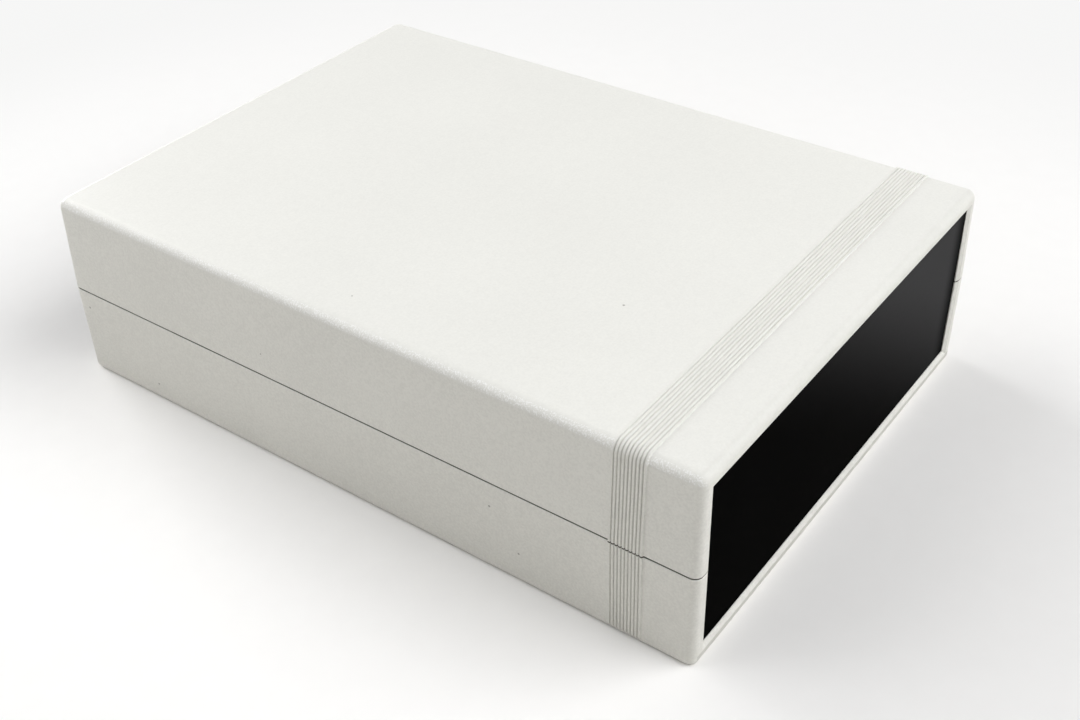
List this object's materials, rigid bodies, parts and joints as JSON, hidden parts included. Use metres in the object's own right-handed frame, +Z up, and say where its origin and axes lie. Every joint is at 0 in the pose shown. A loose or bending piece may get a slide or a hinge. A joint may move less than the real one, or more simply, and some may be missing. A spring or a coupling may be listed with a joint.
{
  "type": "instrument case",
  "caption": "Moulded plastic desktop instrument case: upper and lower shells, black end panels and a band of fine raised reeds near the front.",
  "frame": {"origin": "centre of the footprint, on the surface that the case stands on", "axes": "+X to the right of someone facing the front panel, +Y to the back, +Z up"},
  "size_m": [0.1568, 0.22, 0.0604],
  "materials": {
    "shell_plastic": "off-white ABS with a fine spark-eroded grain",
    "panel_plastic": "black ABS plate with a fine satin grain",
    "screw_steel": "zinc-plated"
  },
  "bodies": {
    "root": {"upper_shell": "shell_plastic", "lower_shell": "shell_plastic", "front_panel": "panel_plastic", "rear_panel": "panel_plastic", "case_screws": "screw_steel"}
  },
  "joints": []
}
